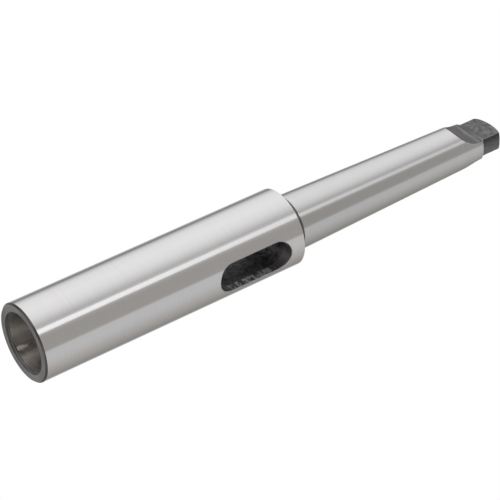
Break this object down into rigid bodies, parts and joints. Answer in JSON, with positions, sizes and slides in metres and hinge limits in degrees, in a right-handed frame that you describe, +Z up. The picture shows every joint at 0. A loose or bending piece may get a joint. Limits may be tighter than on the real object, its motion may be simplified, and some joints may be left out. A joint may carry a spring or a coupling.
{
  "type": "taper extension sleeve",
  "caption": "Round steel extension sleeve with a tapered socket, a through drift slot and a tapered shank that ends in a flat tang.",
  "frame": {"origin": "centre of the mouth face, on which the sleeve stands", "axes": "+Z up the axis of the sleeve, from the mouth to the tang; +Y along the drift slot's way through; +X out of one tang flat"},
  "size_m": [0.025, 0.025, 0.1753],
  "materials": {
    "ground_steel": "hardened steel, cylindrically ground on the body and shank, with a black oxide mouth face, neck, slot and tang"
  },
  "bodies": {
    "root": {"taper_sleeve": "ground_steel"}
  },
  "joints": []
}
